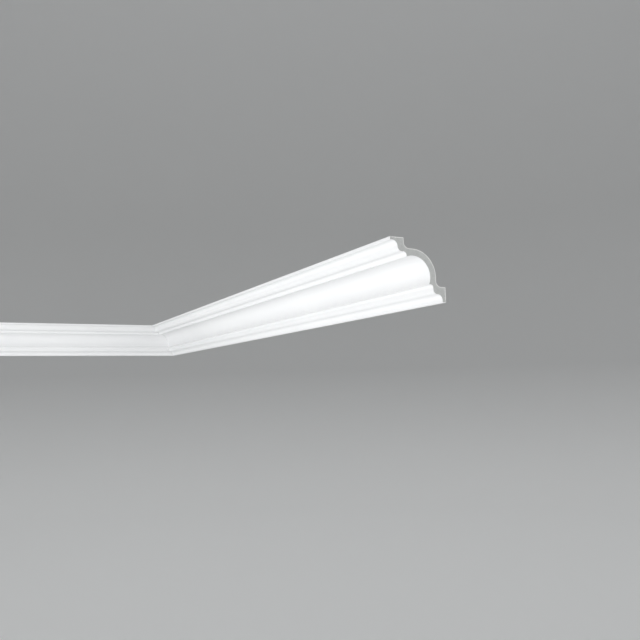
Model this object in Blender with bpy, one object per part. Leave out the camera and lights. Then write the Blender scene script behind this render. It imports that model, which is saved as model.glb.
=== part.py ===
"""Crown moulding for an inside corner: two mitred lengths of one hollow-backed cove section.

Units are metres and +Z is up. The long length runs along X against a wall at y = 0, with the room at -Y.
The short length runs along -Y against a wall at the long length's -X end, with the room at +X.
The origin is the middle of the long length's flat face against its wall.
A point of the section is a pair (out, down): out from the wall, and down from the ceiling.
"""
import math

import bmesh
import bpy
from mathutils import Vector

# Lengths, from the corner of the room to each square cut
LONG_LENGTH = 1.120
SHORT_LENGTH = 0.450

# Overall size of the section
PROJECTION = 0.072
DROP = 0.070

# Members under the ceiling, from the top front corner down to the nose where the cove starts
TOP_BAND = 0.0037
TOP_QUIRK = 0.0031
UPPER_HOLLOW_RADIUS = 0.0065
UPPER_ROUND_RADIUS = 0.0054
BEAD_SHELF = 0.0018
BEAD_HOLLOW_RADIUS = 0.0042
NOSE_BAND = 0.0014

# Members on the wall, from the bottom edge up to the ledge where the cove ends
BOTTOM_EDGE = 0.0048
BOTTOM_BAND = 0.0024
LOWER_HOLLOW_RADIUS = 0.0066
LOWER_ROUND_RADIUS = 0.0054
FOOT_BAND = 0.0016
FOOT_HOLLOW_RADIUS = 0.0036
FOOT_LEDGE = 0.0020

# The cove between them, and the shell behind it
COVE_SWEEP = math.radians(135)
SHELL_THICKNESS = 0.008
BACK_FILLET_RADIUS = 0.0065

# Flat faces that touch the ceiling and the wall
CEILING_SEAT = 0.018
WALL_SEAT = 0.0175

# Every sharp edge of the section is eased by this radius
ARRIS_RADIUS = 0.0004
ARRIS_TURN = math.radians(25)
ARRIS_STEPS = 2

# Width of the open joint between the two mitred faces
MITRE_GAP = 0.0003

# Largest angle that one flat facet of a curve spans
SMALL_CURVE_FACET = math.radians(12)
COVE_FACET = math.radians(4)

PAINT_WHITE = (0.90, 0.90, 0.89, 1.0)
PAINT_ROUGHNESS = 0.55


def arc_points(centre, start, end, facet):
    """Points after start, up to end, on the shorter arc about centre."""
    start_arm = Vector(start) - Vector(centre)
    end_arm = Vector(end) - Vector(centre)
    turn = math.atan2(start_arm.x * end_arm.y - start_arm.y * end_arm.x, start_arm.dot(end_arm))
    steps = max(1, math.ceil(abs(turn) / facet - 1e-6))
    start_angle = math.atan2(start_arm.y, start_arm.x)
    points = []
    for step in range(1, steps + 1):
        share = step / steps
        radius = start_arm.length * (1 - share) + end_arm.length * share
        angle = start_angle + turn * share
        points.append((centre[0] + radius * math.cos(angle), centre[1] + radius * math.sin(angle)))
    return points


class Pen:
    """Draws a stretch of the section from level and plumb lines and quarter rounds."""

    def __init__(self, out, down):
        self.points = [(out, down)]

    def line(self, out=0.0, down=0.0):
        last_out, last_down = self.points[-1]
        self.points.append((last_out + out, last_down + down))

    def quarter_from_level(self, out, down):
        """A quarter round that leaves level and arrives plumb."""
        last_out, last_down = self.points[-1]
        centre = (last_out, last_down + down)
        end = (last_out + out, last_down + down)
        self.points += arc_points(centre, self.points[-1], end, SMALL_CURVE_FACET)

    def quarter_from_plumb(self, out, down):
        """A quarter round that leaves plumb and arrives level."""
        last_out, last_down = self.points[-1]
        centre = (last_out + out, last_down)
        end = (last_out + out, last_down + down)
        self.points += arc_points(centre, self.points[-1], end, SMALL_CURVE_FACET)


def upper_members():
    """From the top front corner to the nose: band, quirk, ogee, and a small hollow under its shelf."""
    pen = Pen(PROJECTION, 0.0)
    pen.line(down=TOP_BAND)
    pen.line(out=-TOP_QUIRK)
    pen.quarter_from_level(-UPPER_HOLLOW_RADIUS, UPPER_HOLLOW_RADIUS)
    pen.quarter_from_plumb(-UPPER_ROUND_RADIUS, UPPER_ROUND_RADIUS)
    pen.line(out=-BEAD_SHELF)
    pen.quarter_from_level(-BEAD_HOLLOW_RADIUS, BEAD_HOLLOW_RADIUS)
    pen.line(down=NOSE_BAND)
    return pen.points


def lower_members():
    """From the bottom front corner up to the cove's foot: band, hollow, round, small hollow and ledge."""
    pen = Pen(BOTTOM_EDGE, DROP)
    pen.line(down=-BOTTOM_BAND)
    pen.quarter_from_plumb(LOWER_HOLLOW_RADIUS, -LOWER_HOLLOW_RADIUS)
    pen.quarter_from_level(LOWER_ROUND_RADIUS, -LOWER_ROUND_RADIUS)
    pen.line(down=-FOOT_BAND)
    pen.quarter_from_plumb(FOOT_HOLLOW_RADIUS, -FOOT_HOLLOW_RADIUS)
    pen.line(out=FOOT_LEDGE)
    return pen.points


def cove_circle(nose, foot):
    """Centre and radius of the cove, which sweeps COVE_SWEEP from nose to foot."""
    nose = Vector(nose)
    foot = Vector(foot)
    chord = foot - nose
    radius = chord.length / 2 / math.sin(COVE_SWEEP / 2)
    room_side = Vector((chord.y, -chord.x)).normalized()
    centre = (nose + foot) / 2 + room_side * radius * math.cos(COVE_SWEEP / 2)
    return (centre.x, centre.y), radius


def back_outline(centre, radius):
    """From the bottom of the wall seat, up behind the shell, to the front of the ceiling seat."""
    back_out = centre[0] - radius
    back_down = centre[1] - radius
    shelf_down = DROP - WALL_SEAT
    lip_out = PROJECTION - CEILING_SEAT
    lower_fillet = min(BACK_FILLET_RADIUS, back_out, shelf_down - centre[1])
    upper_fillet = min(BACK_FILLET_RADIUS, back_down, lip_out - centre[0])
    pen = Pen(0.0, DROP)
    pen.line(down=-WALL_SEAT)
    pen.line(out=back_out - lower_fillet)
    pen.quarter_from_level(lower_fillet, -lower_fillet)
    pen.points.append((back_out, centre[1]))
    pen.points += arc_points(centre, (back_out, centre[1]), (centre[0], back_down), COVE_FACET)
    pen.points.append((lip_out - upper_fillet, back_down))
    pen.quarter_from_level(upper_fillet, -upper_fillet)
    pen.points.append((lip_out, 0.0))
    return pen.points


def ease_arrises(outline):
    """Replace each sharp corner of the closed outline by a short curve."""
    eased = []
    count = len(outline)
    for index, corner in enumerate(outline):
        corner = Vector(corner)
        before = Vector(outline[index - 1]) - corner
        after = Vector(outline[(index + 1) % count]) - corner
        turn = math.pi - before.angle(after)
        if turn < ARRIS_TURN:
            eased.append(tuple(corner))
            continue
        cut_back = min(ARRIS_RADIUS * math.tan(turn / 2), 0.4 * before.length, 0.4 * after.length)
        start = corner + before.normalized() * cut_back
        end = corner + after.normalized() * cut_back
        for step in range(ARRIS_STEPS + 1):
            share = step / ARRIS_STEPS
            on_start = start.lerp(corner, share)
            on_end = corner.lerp(end, share)
            eased.append(tuple(on_start.lerp(on_end, share)))
    return eased


def section_outline():
    """The whole section, once round, from the top front corner down the room side and up the back."""
    upper = upper_members()
    lower = lower_members()
    nose = upper[-1]
    foot = lower[-1]
    centre, radius = cove_circle(nose, foot)
    cove = arc_points(centre, nose, foot, COVE_FACET)
    back = back_outline(centre, radius + SHELL_THICKNESS)
    return ease_arrises(upper + cove + lower[-2::-1] + back)


def height_above_origin(down):
    """Height of a point that is this far below the ceiling."""
    return DROP - WALL_SEAT / 2 - down


def place_on_long_wall(out, along, down):
    """A point beside the long wall: along is the distance from the corner of the room."""
    return (along - LONG_LENGTH / 2, -out, height_above_origin(down))


def place_on_short_wall(out, along, down):
    """A point beside the end wall: along is the distance from the corner of the room."""
    return (out - LONG_LENGTH / 2, -along, height_above_origin(down))


def paint_material(name):
    """Matt white factory primer."""
    material = bpy.data.materials.new(name)
    material.use_nodes = True
    shader = material.node_tree.nodes["Principled BSDF"]
    shader.inputs["Base Color"].default_value = PAINT_WHITE
    shader.inputs["Roughness"].default_value = PAINT_ROUGHNESS
    shader.inputs["Metallic"].default_value = 0.0
    return material


def add_length(name, length, place):
    """One moulding length: the section drawn from its mitred end to its square cut."""
    outline = section_outline()
    mitre_set_back = MITRE_GAP / 2 * math.sqrt(2)
    body = bmesh.new()
    mitred_end = [body.verts.new(place(out, out + mitre_set_back, down)) for out, down in outline]
    square_end = [body.verts.new(place(out, length, down)) for out, down in outline]
    body.faces.new(mitred_end)
    body.faces.new(square_end)
    count = len(outline)
    for index in range(count):
        following = (index + 1) % count
        side = (mitred_end[index], mitred_end[following], square_end[following], square_end[index])
        body.faces.new(side)
    bmesh.ops.recalc_face_normals(body, faces=body.faces)
    mesh = bpy.data.meshes.new(name)
    body.to_mesh(mesh)
    body.free()
    mesh.shade_smooth()
    mesh.set_sharp_from_angle(angle=ARRIS_TURN)
    mesh.materials.append(paint_material(name + "_paint"))
    moulding = bpy.data.objects.new(name, mesh)
    bpy.context.scene.collection.objects.link(moulding)
    return moulding


def main():
    for old in list(bpy.data.objects):
        bpy.data.objects.remove(old)
    add_length("long_length", LONG_LENGTH, place_on_long_wall)
    add_length("short_length", SHORT_LENGTH, place_on_short_wall)


main()
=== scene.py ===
"""Looks of a mitred run of white cove crown moulding, in metres, in the frame of its CAD model.

Both lengths are rebuilt as finer meshes of the same section: eased arrises, a surface that wavers slightly
as moulded foam does, paint that ends in an uneven line on the glued faces, and sawn ends that show the grey
foam core with its pits, the paler skin at the back and the thin film of paint at the front.
A point of the section is a pair (out, down): out from the wall, and down from the ceiling.
"""
import math
import random

import bmesh
import bpy
import numpy as np
from mathutils import Matrix, Vector, noise
from mathutils.geometry import delaunay_2d_cdt


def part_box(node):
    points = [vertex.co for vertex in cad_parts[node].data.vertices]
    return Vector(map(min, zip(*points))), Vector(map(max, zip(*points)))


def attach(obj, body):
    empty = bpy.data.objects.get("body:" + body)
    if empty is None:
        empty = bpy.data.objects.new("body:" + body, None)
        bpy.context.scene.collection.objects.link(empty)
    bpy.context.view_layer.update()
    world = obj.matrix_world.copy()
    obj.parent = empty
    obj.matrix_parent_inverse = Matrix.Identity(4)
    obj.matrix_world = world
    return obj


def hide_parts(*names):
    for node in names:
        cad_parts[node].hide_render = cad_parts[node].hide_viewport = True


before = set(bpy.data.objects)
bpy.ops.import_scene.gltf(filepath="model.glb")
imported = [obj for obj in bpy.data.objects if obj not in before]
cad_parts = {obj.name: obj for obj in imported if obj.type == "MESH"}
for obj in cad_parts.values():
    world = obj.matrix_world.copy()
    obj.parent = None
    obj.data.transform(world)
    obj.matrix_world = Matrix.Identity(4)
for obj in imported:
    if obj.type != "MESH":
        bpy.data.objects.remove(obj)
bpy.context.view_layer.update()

long_low, long_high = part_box("long_length")
short_low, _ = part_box("short_length")

MILLIMETRE = 0.001

# The room's planes and the free ends, read from the frame
CEILING = long_high.z
WALL = long_high.y
END_WALL = short_low.x
LONG_END = long_high.x
SHORT_END = short_low.y
DROP = long_high.z - long_low.z
PROJECTION = long_high.y - long_low.y

# Members under the ceiling, from the top front corner down to the nose where the cove starts
TOP_BAND = 0.0037
TOP_QUIRK = 0.0031
UPPER_HOLLOW_RADIUS = 0.0065
UPPER_ROUND_RADIUS = 0.0054
BEAD_SHELF = 0.0018
BEAD_HOLLOW_RADIUS = 0.0042
NOSE_BAND = 0.0014

# Members on the wall, from the bottom edge up to the ledge where the cove ends
BOTTOM_EDGE = 0.0048
BOTTOM_BAND = 0.0024
LOWER_HOLLOW_RADIUS = 0.0066
LOWER_ROUND_RADIUS = 0.0054
FOOT_BAND = 0.0016
FOOT_HOLLOW_RADIUS = 0.0036
FOOT_LEDGE = 0.0020

# The cove, the shell behind it, and the faces that are glued to the ceiling and the wall
COVE_SWEEP = math.radians(135)
SHELL_THICKNESS = 0.008
BACK_FILLET_RADIUS = 0.0065
CEILING_SEAT = 0.018
WALL_SEAT = 0.0175

# How finely curves are drawn, and the slack that keeps a whole number of steps from being rounded up
SMALL_CURVE_FACET = math.radians(7.5)
COVE_FACET = math.radians(3)
STEP_SLACK = 1e-6

# The eased arrises, the points that support them on either side, and the steps of the long flats
ARRIS_RADIUS = 0.0004
ARRIS_TURN = math.radians(25)
ARRIS_STEPS = 4
ARRIS_MOST_OF_FLAT = 0.4
SUPPORT_DISTANCE = 0.0004
LONGEST_FLAT = 0.0020

# Faces that meet at more than this angle are shaded as an edge
SHARP_ANGLE = math.radians(35)

# Where the paint stops on the two glued faces, and how far that line wanders
PAINT_LAP = 0.0030
LAP_WANDER = 0.0011
LAP_WANDER_PITCH = 0.024
LAP_FINE_WANDER = LAP_WANDER / 3
LAP_FINE_PITCH = LAP_WANDER_PITCH / 5
SAME_PLACE = 1e-7

# Width of the open joint between the two mitred faces
MITRE_GAP = 0.0003

# Stations along a length: close together near the two ends, and this far apart between them
STATION_STEP = 0.012
END_STATIONS = (0.0002, 0.0006, 0.0014, 0.0030, 0.0060)

# How far the moulded surface wavers, and the length over which that fades to nothing at the mitre
MITRE_FADE = 0.09
WAVER_LONG = 0.00012
WAVER_SHORT = 0.00004
WAVER_LONG_PITCH = 0.31
WAVER_SHORT_PITCH = 0.047

# Channels of the waves: a number for each length, and what is added to it so that no two waves are alike
LONG_LENGTH_CHANNEL = 1
SHORT_LENGTH_CHANNEL = 2
OUT_SHORT_CHANNEL = 3
LAP_FINE_CHANNEL = 5
DOWN_LONG_CHANNEL = 7
DOWN_SHORT_CHANNEL = 11

# Third coordinate of the waves' noise: halfway between whole numbers, so that no wave dies out at one
NOISE_LEVEL = 0.5

# The layers of a sawn face, and the finishes in the order of the mesh's material slots
LAYER_DEPTH = {"paint": 0.00030, "skin": 0.00085}
LAYER_KEEP = 0.9
FINISHES = ("paint", "skin", "core")

# The roughness that the saw leaves on the foam
CORE_POINT_SPACING = 0.0008
CORE_POINT_STRAY = CORE_POINT_SPACING / 4
PIT_DEPTH = 0.00016
PIT_PATCH = 0.003
PIT_RARITY = 3
SAW_MARK_PITCH = 0.0021
SAW_MARK_DEPTH = 0.00004
SAW_MARK_LEAN = 0.35
END_RAGGED = 0.00010

# How a face is filled with triangles: only inside its rim, and with this error in millimetres
INSIDE_ONLY = 1
TRIANGULATION_ERROR = 0.00001

# Colours of the finishes: two tints each, and a darker colour painted into the sawn foam's open cells as
# painted shade
PAINT_TINTS = ((0.808, 0.813, 0.818, 1.0), (0.792, 0.797, 0.804, 1.0))
SKIN_TINTS = ((0.738, 0.738, 0.723, 1.0), (0.712, 0.712, 0.697, 1.0))
CORE_TINTS = ((0.506, 0.515, 0.506, 1.0), (0.462, 0.471, 0.462, 1.0))
PIT_SHADE_COLOUR = (0.352, 0.358, 0.352, 1.0)

# Size of the foam's cells, and the part of a noise texture's range that a tint is spread over
FOAM_CELL = 0.0007
NOISE_LOW = 0.35
NOISE_HIGH = 0.65

# Light: an even sky, and four square softboxes as (place, what it faces, watts)
SKY_COLOUR = (0.965, 0.982, 1.0, 1.0)
SKY_STRENGTH = 0.775
SOFTBOX_SIDE = 1.0
FRONT_SOFTBOX = ((0.4, -1.9, -0.1), (0.0, -0.1, 0.0), 17.9)
END_SOFTBOX = ((2.0, 0.2, 0.0), (0.0, -0.1, 0.0), 10.6)
LOW_SOFTBOX = ((0.38, -0.52, -1.0), (0.15, -0.1, 0.0), 10.9)
BACK_SOFTBOX = ((-1.4, 1.7, 1.5), (0.0, -0.1, 0.0), 34.0)

# The studio floor, which curves up to a round wall, and is fully grey from the height of BACKDROP_FADE_TOP
FLOOR_BELOW_CEILING = 1.1
FLOOR_HEIGHT = CEILING - FLOOR_BELOW_CEILING
FLOOR_RADIUS = 4.5
FLOOR_CURVE_RADIUS = 3.0
STUDIO_WALL_HEIGHT = 3.5
FLOOR_TURNS = 96
FLOOR_CURVE_STEPS = 24
FLOOR_COLOUR = (0.86, 0.86, 0.85, 1.0)
BACKDROP_COLOUR = (0.60, 0.60, 0.595, 1.0)
BACKDROP_FADE_TOP = 0.1

# The camera: where it stands, and how it turns from looking straight along -X
CAMERA_PLACE = (1.1748, -0.4787, -0.0999)
CAMERA_YAW = math.radians(27.46)
CAMERA_PITCH = math.radians(5.62)
CAMERA_ROLL = math.radians(1.46)
CAMERA_LENS = 38.86
CAMERA_SENSOR = 36.0


def arc_points(centre, start, end, facet):
    """Points after start, up to end, on the shorter arc about centre."""
    start_arm = Vector(start) - Vector(centre)
    end_arm = Vector(end) - Vector(centre)
    turn = math.atan2(start_arm.x * end_arm.y - start_arm.y * end_arm.x, start_arm.dot(end_arm))
    steps = max(1, math.ceil(abs(turn) / facet - STEP_SLACK))
    start_angle = math.atan2(start_arm.y, start_arm.x)
    points = []
    for step in range(1, steps + 1):
        share = step / steps
        radius = start_arm.length * (1 - share) + end_arm.length * share
        angle = start_angle + turn * share
        points.append((centre[0] + radius * math.cos(angle), centre[1] + radius * math.sin(angle)))
    return points


class Pen:
    """Draws a stretch of the section from level and plumb lines and quarter rounds."""

    def __init__(self, out, down):
        self.points = [(out, down)]

    def line(self, out=0.0, down=0.0):
        """A straight line, this far out and down from the last point."""
        last_out, last_down = self.points[-1]
        self.points.append((last_out + out, last_down + down))

    def quarter_from_level(self, out, down):
        """A quarter round that leaves level and arrives plumb."""
        last_out, last_down = self.points[-1]
        centre = (last_out, last_down + down)
        end = (last_out + out, last_down + down)
        self.points += arc_points(centre, self.points[-1], end, SMALL_CURVE_FACET)

    def quarter_from_plumb(self, out, down):
        """A quarter round that leaves plumb and arrives level."""
        last_out, last_down = self.points[-1]
        centre = (last_out + out, last_down)
        end = (last_out + out, last_down + down)
        self.points += arc_points(centre, self.points[-1], end, SMALL_CURVE_FACET)


def upper_members():
    """From the top front corner to the nose: band, quirk, ogee, and a small hollow under its shelf."""
    pen = Pen(PROJECTION, 0.0)
    pen.line(down=TOP_BAND)
    pen.line(out=-TOP_QUIRK)
    pen.quarter_from_level(-UPPER_HOLLOW_RADIUS, UPPER_HOLLOW_RADIUS)
    pen.quarter_from_plumb(-UPPER_ROUND_RADIUS, UPPER_ROUND_RADIUS)
    pen.line(out=-BEAD_SHELF)
    pen.quarter_from_level(-BEAD_HOLLOW_RADIUS, BEAD_HOLLOW_RADIUS)
    pen.line(down=NOSE_BAND)
    return pen.points


def lower_members():
    """From the bottom front corner up to the cove's foot: band, hollow, round, small hollow and ledge."""
    pen = Pen(BOTTOM_EDGE, DROP)
    pen.line(down=-BOTTOM_BAND)
    pen.quarter_from_plumb(LOWER_HOLLOW_RADIUS, -LOWER_HOLLOW_RADIUS)
    pen.quarter_from_level(LOWER_ROUND_RADIUS, -LOWER_ROUND_RADIUS)
    pen.line(down=-FOOT_BAND)
    pen.quarter_from_plumb(FOOT_HOLLOW_RADIUS, -FOOT_HOLLOW_RADIUS)
    pen.line(out=FOOT_LEDGE)
    return pen.points


def cove_circle(nose, foot):
    """Centre and radius of the cove, which sweeps COVE_SWEEP from nose to foot."""
    nose = Vector(nose)
    foot = Vector(foot)
    chord = foot - nose
    radius = chord.length / 2 / math.sin(COVE_SWEEP / 2)
    room_side = Vector((chord.y, -chord.x)).normalized()
    centre = (nose + foot) / 2 + room_side * radius * math.cos(COVE_SWEEP / 2)
    return (centre.x, centre.y), radius


def back_outline(centre, radius):
    """From the wall seat's top edge, up behind the shell, to the ceiling seat's back edge."""
    back_out = centre[0] - radius
    back_down = centre[1] - radius
    lip_out = PROJECTION - CEILING_SEAT
    pen = Pen(0.0, DROP - WALL_SEAT)
    pen.line(out=back_out - BACK_FILLET_RADIUS)
    pen.quarter_from_level(BACK_FILLET_RADIUS, -BACK_FILLET_RADIUS)
    pen.points.append((back_out, centre[1]))
    pen.points += arc_points(centre, (back_out, centre[1]), (centre[0], back_down), COVE_FACET)
    pen.points.append((lip_out - BACK_FILLET_RADIUS, back_down))
    pen.quarter_from_level(BACK_FILLET_RADIUS, -BACK_FILLET_RADIUS)
    pen.points.append((lip_out, 0.0))
    return pen.points


def ease_arrises(outline):
    """Replaces each sharp corner of the closed outline by a short curve, and keeps the flats flat."""
    eased = []
    count = len(outline)
    for index, (corner, finish) in enumerate(outline):
        corner = Vector(corner)
        before = Vector(outline[index - 1][0]) - corner
        after = Vector(outline[(index + 1) % count][0]) - corner
        turn = math.pi - before.angle(after)
        if turn < ARRIS_TURN:
            eased.append((tuple(corner), finish))
            continue
        most = ARRIS_MOST_OF_FLAT * min(before.length, after.length)
        cut_back = min(ARRIS_RADIUS * math.tan(turn / 2), most)
        start = corner + before.normalized() * cut_back
        end = corner + after.normalized() * cut_back
        if before.length > cut_back + 2 * SUPPORT_DISTANCE:
            eased.append((tuple(start + before.normalized() * SUPPORT_DISTANCE), outline[index - 1][1]))
        for step in range(ARRIS_STEPS + 1):
            share = step / ARRIS_STEPS
            on_start = start.lerp(corner, share)
            on_end = corner.lerp(end, share)
            eased.append((tuple(on_start.lerp(on_end, share)), finish))
        if after.length > cut_back + 2 * SUPPORT_DISTANCE:
            eased.append((tuple(end + after.normalized() * SUPPORT_DISTANCE), finish))
    return eased


def section_outline():
    """The section once round, as pairs of a point and the finish of the stretch that follows it."""
    upper = upper_members()
    lower = lower_members()
    centre, radius = cove_circle(upper[-1], lower[-1])
    cove = arc_points(centre, upper[-1], lower[-1], COVE_FACET)
    painted = upper + cove + lower[-2::-1] + [(0.0, DROP), (0.0, DROP - PAINT_LAP)]
    back = back_outline(centre, radius + SHELL_THICKNESS)
    outline = [((PROJECTION - PAINT_LAP, 0.0), "paint")]
    outline += [(point, "paint") for point in painted[:-1]]
    outline += [(painted[-1], "skin")]
    outline += [(point, "skin") for point in back]
    return ease_arrises(outline)


def split_long_flats(outline):
    """Adds points along the long flats, so that the sawn face has even triangles beside them."""
    split = []
    count = len(outline)
    for index, (point, finish) in enumerate(outline):
        following = Vector(outline[(index + 1) % count][0])
        point = Vector(point)
        steps = max(1, math.ceil((following - point).length / LONGEST_FLAT))
        split += [(tuple(point.lerp(following, step / steps)), finish) for step in range(steps)]
    return split


def wave(along, pitch, channel):
    """Smooth value between -1 and 1 that changes over this pitch."""
    return noise.noise(Vector((along / pitch, channel, NOISE_LEVEL)))


def stray_share(out, along):
    """How much of its wandering a point has: none at the mitre, and all of it MITRE_FADE away."""
    return min(max((along - out) / MITRE_FADE, 0.0), 1.0)


def wavered(out, down, along, channel):
    """The point, moved as the moulded foam wavers, and kept inside the section's box."""
    share = stray_share(out, along)
    out_channel = channel + OUT_SHORT_CHANNEL + down / PROJECTION
    down_channel = channel + DOWN_SHORT_CHANNEL + out / PROJECTION
    stray_out = WAVER_LONG * wave(along, WAVER_LONG_PITCH, channel)
    stray_out += WAVER_SHORT * wave(along, WAVER_SHORT_PITCH, out_channel)
    stray_down = WAVER_LONG * wave(along, WAVER_LONG_PITCH, channel + DOWN_LONG_CHANNEL)
    stray_down += WAVER_SHORT * wave(along, WAVER_SHORT_PITCH, down_channel)
    moved_out = min(max(out + stray_out * share, 0.0), PROJECTION)
    moved_down = min(max(down + stray_down * share, 0.0), DROP)
    return moved_out, moved_down


def paint_lap(point, along, channel):
    """Moves the two points where the paint stops, so that its edge wanders along the glued faces."""
    out, down = point
    wander = LAP_WANDER * wave(along, LAP_WANDER_PITCH, channel)
    wander += LAP_FINE_WANDER * wave(along, LAP_FINE_PITCH, channel + LAP_FINE_CHANNEL)
    wander *= stray_share(out, along)
    if down == 0.0 and abs(out - (PROJECTION - PAINT_LAP)) < SAME_PLACE:
        return out + wander, down
    if out == 0.0 and abs(down - (DROP - PAINT_LAP)) < SAME_PLACE:
        return out, down + wander
    return out, down


def mitre_along(out):
    """Where the mitred face cuts a line that runs this far out from the wall."""
    return out + MITRE_GAP / 2 * math.sqrt(2)


def stations_of(length):
    """Where the stations stand, as (share of the run, distance from that place towards the square cut)."""
    middle = max(2, round(length / STATION_STEP))
    stations = [(0.0, distance) for distance in (0.0,) + END_STATIONS]
    stations += [(step / middle, 0.0) for step in range(1, middle)]
    stations += [(1.0, -distance) for distance in reversed((0.0,) + END_STATIONS)]
    return stations


def nearest_edges(points, loop):
    """For each point, its distance to the closed loop and the number of the nearest edge."""
    points = np.array(points)[:, None, :]
    start = np.array(loop)
    run = np.roll(start, -1, axis=0) - start
    share = ((points - start) * run).sum(axis=2) / (run * run).sum(axis=1)
    gap = np.linalg.norm(points - start - run * share.clip(0, 1)[..., None], axis=2)
    edge = gap.argmin(axis=1)
    return gap.min(axis=1), edge


def are_inside(points, loop):
    """For each point, whether the closed loop goes round it."""
    points = np.array(points)
    start = np.array(loop)
    end = np.roll(start, -1, axis=0)
    level = points[:, None, 1]
    straddles = (start[:, 1] > level) != (end[:, 1] > level)
    rise = np.where(straddles, end[:, 1] - start[:, 1], 1.0)
    crossing = start[:, 0] + (level - start[:, 1]) / rise * (end[:, 0] - start[:, 0])
    return (straddles & (crossing > points[:, None, 0])).sum(axis=1) % 2 == 1


def layer_points(loop, finishes):
    """Points just inside the loop, at the depth of the paint film or of the skin."""
    points = []
    depths = []
    count = len(loop)
    for index, corner in enumerate(loop):
        along = Vector(loop[(index + 1) % count]) - Vector(loop[index - 1])
        inward = Vector((-along.y, along.x)).normalized()
        depth = LAYER_DEPTH[finishes[index]]
        for side in (-1, 1):
            points.append(tuple(Vector(corner) + inward * side * depth))
            depths.append(depth)
    gaps, _ = nearest_edges(points, loop)
    kept = are_inside(points, loop) & (gaps > LAYER_KEEP * np.array(depths))
    return [point for point, keep in zip(points, kept) if keep]


def core_points(loop, finishes, draw):
    """A slightly uneven honeycomb of points through the foam core."""
    corners = np.array(loop)
    low = corners.min(axis=0)
    high = corners.max(axis=0)
    row_step = CORE_POINT_SPACING * math.sqrt(3) / 2
    points = []
    for row in range(int((high[1] - low[1]) / row_step) + 1):
        offset = CORE_POINT_SPACING / 2 * (row % 2)
        for column in range(int((high[0] - low[0]) / CORE_POINT_SPACING) + 1):
            out = low[0] + offset + column * CORE_POINT_SPACING
            out += draw.uniform(-CORE_POINT_STRAY, CORE_POINT_STRAY)
            down = low[1] + row * row_step
            down += draw.uniform(-CORE_POINT_STRAY, CORE_POINT_STRAY)
            points.append((out, down))
    gaps, edges = nearest_edges(points, loop)
    depths = np.array([LAYER_DEPTH[finishes[edge]] for edge in edges])
    kept = are_inside(points, loop) & (gaps > depths + CORE_POINT_SPACING / 2)
    return [point for point, keep in zip(points, kept) if keep]


def pit(point, draw):
    """How far a point of the sawn foam lies below its plane."""
    patch = 0.5 + 0.5 * noise.noise(Vector((point.x, point.y, 0.0)) / PIT_PATCH)
    turns = (point.y + SAW_MARK_LEAN * point.x) / SAW_MARK_PITCH
    saw = 0.5 + 0.5 * math.sin(2 * math.pi * turns)
    return SAW_MARK_DEPTH * saw + PIT_DEPTH * patch * draw.random() ** PIT_RARITY


def close_end(body, rim, loop, finishes, place, end_along, sawn, draw):
    """Fills the ring of rim vertices with triangles, and gives a sawn face its layers and pits."""
    extra = []
    if sawn:
        extra = layer_points(loop, finishes) + core_points(loop, finishes, draw)
    flats = [Vector(point) / MILLIMETRE for point in list(loop) + extra]
    rim_edges = [(index, (index + 1) % len(loop)) for index in range(len(loop))]
    filled, _, triangles, origins, _, _ = delaunay_2d_cdt(
        flats, rim_edges, [], INSIDE_ONLY, TRIANGULATION_ERROR
    )
    filled = [flat * MILLIMETRE for flat in filled]
    verts = []
    for point, origin in zip(filled, origins):
        if origin and min(origin) < len(rim):
            verts.append(rim[min(origin)])
        else:
            along = end_along(point.x) - pit(point, draw)
            verts.append(body.verts.new(place(point.x, along, point.y)))
    middles = [tuple((filled[a] + filled[b] + filled[c]) / 3) for a, b, c in triangles]
    gaps, edges = nearest_edges(middles, loop)
    for triangle, gap, edge in zip(triangles, gaps, edges):
        face = body.faces.new([verts[index] for index in triangle])
        finish = finishes[edge]
        layered = sawn and gap < LAYER_DEPTH[finish]
        face.material_index = FINISHES.index(finish if layered else "core")


def sweep_section(body, points, finishes, length, place, channel, draw):
    """The section at each station of the length: a ring of vertices, and its flat loop of points."""
    rings = []
    loops = []
    for share, distance in stations_of(length):
        loop = []
        ring = []
        for point in points:
            start = mitre_along(point[0])
            along = start + (length - start) * share + distance
            out, down = wavered(*paint_lap(point, along, channel), along, channel)
            along = max(along, mitre_along(out))
            if along == length:
                along -= END_RAGGED * draw.random()
            loop.append((out, down))
            ring.append(body.verts.new(place(out, along, down)))
        rings.append(ring)
        loops.append(loop)
    for near, far in zip(rings, rings[1:]):
        for index, finish in enumerate(finishes):
            following = (index + 1) % len(finishes)
            face = body.faces.new((near[index], near[following], far[following], far[index]))
            face.material_index = FINISHES.index(finish)
    return rings, loops


def build_length(name, node, length, place, channel, materials):
    """One moulding length as a closed mesh, mitred end to square cut, that stands for its CAD node."""
    draw = random.Random(channel)
    points, finishes = zip(*split_long_flats(section_outline()))
    body = bmesh.new()
    rings, loops = sweep_section(body, points, finishes, length, place, channel, draw)
    close_end(body, rings[0], loops[0], finishes, place, mitre_along, False, draw)
    close_end(body, rings[-1], loops[-1], finishes, place, lambda out: length, True, draw)
    bmesh.ops.recalc_face_normals(body, faces=body.faces)
    mesh = bpy.data.meshes.new(name)
    body.to_mesh(mesh)
    body.free()
    mesh.shade_smooth()
    mesh.set_sharp_from_angle(angle=SHARP_ANGLE)
    for finish in FINISHES:
        mesh.materials.append(materials[finish])
    piece = bpy.data.objects.new(name, mesh)
    bpy.context.scene.collection.objects.link(piece)
    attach(piece, "root")
    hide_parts(node)
    return piece


def place_on_long_wall(out, along, down):
    """A point beside the long wall: along is the distance from the corner of the room."""
    return (END_WALL + along, WALL - out, CEILING - down)


def place_on_short_wall(out, along, down):
    """A point beside the end wall: along is the distance from the corner of the room."""
    return (END_WALL + out, WALL - along, CEILING - down)


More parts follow.
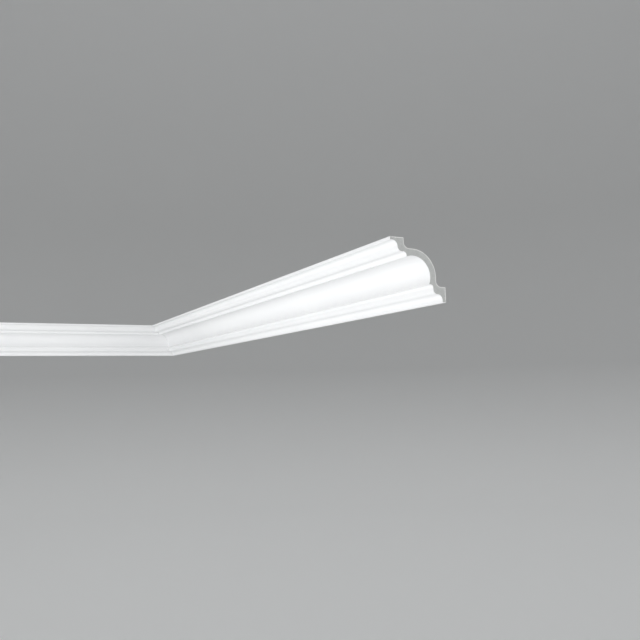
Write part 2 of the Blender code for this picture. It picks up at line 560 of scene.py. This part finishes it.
class Shader:
    """A material under construction, whose textures are placed in metres."""

    def __init__(self, name):
        self.material = bpy.data.materials.new(name)
        self.material.use_nodes = True
        self.tree = self.material.node_tree
        self.surface = self.tree.nodes["Principled BSDF"]
        self.place = self.tree.nodes.new("ShaderNodeTexCoord").outputs["Object"]

    def link(self, source, target):
        """Leads an output to an input."""
        self.tree.links.new(source, target)

    def noise(self, pitch, detail=2.0, roughness=0.5):
        """Noise whose features are about this many metres across."""
        node = self.tree.nodes.new("ShaderNodeTexNoise")
        node.inputs["Scale"].default_value = 1.0 / pitch
        node.inputs["Detail"].default_value = detail
        node.inputs["Roughness"].default_value = roughness
        self.link(self.place, node.inputs["Vector"])
        return node.outputs["Fac"]

    def height(self):
        """Height in metres."""
        node = self.tree.nodes.new("ShaderNodeSeparateXYZ")
        self.link(self.place, node.inputs["Vector"])
        return node.outputs["Z"]

    def cells(self, pitch):
        """Distance to the middle of the nearest foam cell."""
        node = self.tree.nodes.new("ShaderNodeTexVoronoi")
        node.inputs["Scale"].default_value = 1.0 / pitch
        self.link(self.place, node.inputs["Vector"])
        return node.outputs["Distance"]

    def mapped(self, value, low, high, from_low=NOISE_LOW, from_high=NOISE_HIGH):
        """The value spread from one range to another."""
        node = self.tree.nodes.new("ShaderNodeMapRange")
        node.inputs["From Min"].default_value = from_low
        node.inputs["From Max"].default_value = from_high
        node.inputs["To Min"].default_value = low
        node.inputs["To Max"].default_value = high
        self.link(value, node.inputs["Value"])
        return node.outputs["Result"]

    def mixed(self, share, first, second):
        """A colour between two colours or colour outputs."""
        node = self.tree.nodes.new("ShaderNodeMix")
        node.data_type = "RGBA"
        self.link(share, node.inputs["Factor"])
        for socket, colour in (("A", first), ("B", second)):
            target = next(s for s in node.inputs if s.name == socket and s.type == "RGBA")
            if isinstance(colour, tuple):
                target.default_value = colour
            else:
                self.link(colour, target)
        return next(s for s in node.outputs if s.type == "RGBA")

    def bump(self, height, distance, strength, over=None):
        """Relief of the height value, over the relief that is already there."""
        node = self.tree.nodes.new("ShaderNodeBump")
        node.inputs["Distance"].default_value = distance
        node.inputs["Strength"].default_value = strength
        self.link(height, node.inputs["Height"])
        if over is not None:
            self.link(over, node.inputs["Normal"])
        return node.outputs["Normal"]

    def finish(self, colour, roughness, normal, specular):
        """The material, once these outputs are led to its surface."""
        self.link(colour, self.surface.inputs["Base Color"])
        self.link(roughness, self.surface.inputs["Roughness"])
        self.link(normal, self.surface.inputs["Normal"])
        self.surface.inputs["Specular IOR Level"].default_value = specular
        return self.material


def paint_material():
    """Sprayed white primer: even, matt, with the faint stipple of spray."""
    shader = Shader("white_primer")
    tint = shader.mapped(shader.noise(pitch=0.11), low=0.0, high=1.0)
    colour = shader.mixed(tint, *PAINT_TINTS)
    roughness = shader.mapped(shader.noise(pitch=0.02), low=0.58, high=0.70)
    ripples = shader.noise(pitch=0.016, detail=1.0)
    droplets = shader.noise(pitch=0.0013, detail=1.0)
    ripple = shader.bump(ripples, distance=0.00010, strength=0.6)
    stipple = shader.bump(droplets, distance=0.00004, strength=0.6, over=ripple)
    return shader.finish(colour, roughness, stipple, specular=0.2)


def skin_material():
    """The bare skin that foam forms against its mould: paler than the core, with faint blisters."""
    shader = Shader("moulded_foam_skin")
    tint = shader.mapped(shader.noise(pitch=0.018, detail=4.0), low=0.0, high=1.0)
    colour = shader.mixed(tint, *SKIN_TINTS)
    roughness = shader.mapped(shader.noise(pitch=0.004), low=0.62, high=0.78)
    flow = shader.bump(shader.noise(pitch=0.022, detail=3.0), distance=0.00014, strength=0.5)
    blisters = shader.bump(shader.cells(pitch=0.0024), distance=0.00008, strength=0.4, over=flow)
    return shader.finish(colour, roughness, blisters, specular=0.3)


def core_material():
    """Sawn foam: grey, with fine cells whose middles are painted darker as painted shade inside the pits."""
    shader = Shader("sawn_foam_core")
    patches = shader.mapped(shader.noise(pitch=0.0045, detail=3.0), low=0.0, high=1.0)
    body = shader.mixed(patches, *CORE_TINTS)
    # Painted shade: the middle of each foam cell gets the darker pit colour, standing in for the shade
    # inside the open cells
    pits = shader.mapped(shader.cells(FOAM_CELL), low=1.0, high=0.0, from_low=0.05, from_high=0.40)
    colour = shader.mixed(pits, body, PIT_SHADE_COLOUR)
    roughness = shader.mapped(shader.noise(pitch=0.002), low=0.82, high=0.95)
    relief = shader.bump(shader.cells(FOAM_CELL), distance=0.00012, strength=0.6)
    return shader.finish(colour, roughness, relief, specular=0.2)


def floor_material():
    """Plain studio paper, pale on the floor and greyer as it rises behind the moulding."""
    shader = Shader("studio_floor")
    rise = shader.mapped(
        shader.height(), low=0.0, high=1.0, from_low=FLOOR_HEIGHT, from_high=BACKDROP_FADE_TOP
    )
    colour = shader.mixed(rise, FLOOR_COLOUR, BACKDROP_COLOUR)
    roughness = shader.mapped(shader.noise(pitch=0.3), low=0.85, high=0.95)
    grain = shader.bump(shader.noise(pitch=0.002), distance=0.00005, strength=0.3)
    return shader.finish(colour, roughness, grain, specular=0.2)


def add_floor():
    """A round floor that curves up to a wall, all one sheet."""
    profile = [(0.0, 0.0), (FLOOR_RADIUS, 0.0)]
    for step in range(1, FLOOR_CURVE_STEPS + 1):
        angle = math.pi / 2 * step / FLOOR_CURVE_STEPS
        radius = FLOOR_RADIUS + FLOOR_CURVE_RADIUS * math.sin(angle)
        profile.append((radius, FLOOR_CURVE_RADIUS * (1 - math.cos(angle))))
    profile.append((FLOOR_RADIUS + FLOOR_CURVE_RADIUS, FLOOR_CURVE_RADIUS + STUDIO_WALL_HEIGHT))
    body = bmesh.new()
    verts = [body.verts.new((radius, 0.0, FLOOR_HEIGHT + height)) for radius, height in profile]
    edges = [body.edges.new(pair) for pair in zip(verts, verts[1:])]
    bmesh.ops.spin(
        body, geom=verts + edges, cent=(0, 0, 0), axis=(0, 0, 1), angle=2 * math.pi, steps=FLOOR_TURNS
    )
    bmesh.ops.remove_doubles(body, verts=body.verts, dist=MILLIMETRE)
    bmesh.ops.recalc_face_normals(body, faces=body.faces)
    mesh = bpy.data.meshes.new("studio_floor")
    body.to_mesh(mesh)
    body.free()
    mesh.shade_smooth()
    mesh.materials.append(floor_material())
    floor = bpy.data.objects.new("studio_floor", mesh)
    bpy.context.scene.collection.objects.link(floor)


def add_softbox(name, place, target, power, lit):
    """A large soft lamp at place, facing target, that lights the lit collection and not the floor."""
    lamp = bpy.data.lights.new(name, "AREA")
    lamp.shape = "SQUARE"
    lamp.size = SOFTBOX_SIDE
    lamp.energy = power
    softbox = bpy.data.objects.new(name, lamp)
    softbox.visible_camera = False
    softbox.light_linking.receiver_collection = lit
    softbox.location = place
    softbox.rotation_mode = "QUATERNION"
    softbox.rotation_quaternion = (Vector(target) - Vector(place)).to_track_quat("-Z", "Y")
    bpy.context.scene.collection.objects.link(softbox)


def add_lights(pieces):
    """Even studio light, with more of it from the room side and from below, and some on the hidden backs."""
    sky = bpy.data.worlds.new("studio_sky")
    sky.use_nodes = True
    background = sky.node_tree.nodes["Background"]
    background.inputs["Color"].default_value = SKY_COLOUR
    background.inputs["Strength"].default_value = SKY_STRENGTH
    bpy.context.scene.world = sky
    lit = bpy.data.collections.new("lit_by_softboxes")
    for piece in pieces:
        lit.objects.link(piece)
    add_softbox("front_softbox", *FRONT_SOFTBOX, lit)
    add_softbox("end_softbox", *END_SOFTBOX, lit)
    add_softbox("low_softbox", *LOW_SOFTBOX, lit)
    add_softbox("back_softbox", *BACK_SOFTBOX, lit)


def add_camera():
    """The photograph's view of the run, from its near end and a little below it."""
    forward = Vector((-math.cos(CAMERA_YAW), math.sin(CAMERA_YAW), 0.0))
    right = Vector((math.sin(CAMERA_YAW), math.cos(CAMERA_YAW), 0.0))
    up = Vector((0.0, 0.0, 1.0))
    pitch = Matrix.Rotation(CAMERA_PITCH, 3, right)
    forward = pitch @ forward
    up = pitch @ up
    roll = Matrix.Rotation(CAMERA_ROLL, 3, forward)
    right = roll @ right
    up = roll @ up
    data = bpy.data.cameras.new("camera")
    data.lens = CAMERA_LENS
    data.sensor_width = CAMERA_SENSOR
    camera = bpy.data.objects.new("camera", data)
    turn = Matrix((right, up, -forward)).transposed()
    camera.matrix_world = Matrix.Translation(CAMERA_PLACE) @ turn.to_4x4()
    bpy.context.scene.collection.objects.link(camera)
    bpy.context.scene.camera = camera


def main():
    add_camera()
    materials = {"paint": paint_material(), "skin": skin_material(), "core": core_material()}
    long_run = LONG_END - END_WALL
    short_run = WALL - SHORT_END
    runs = (
        ("long_moulding", "long_length", long_run, place_on_long_wall, LONG_LENGTH_CHANNEL),
        ("short_moulding", "short_length", short_run, place_on_short_wall, SHORT_LENGTH_CHANNEL),
    )
    pieces = [build_length(*run, materials) for run in runs]
    add_floor()
    add_lights(pieces)
    bpy.context.scene.view_settings.view_transform = "Standard"


main()
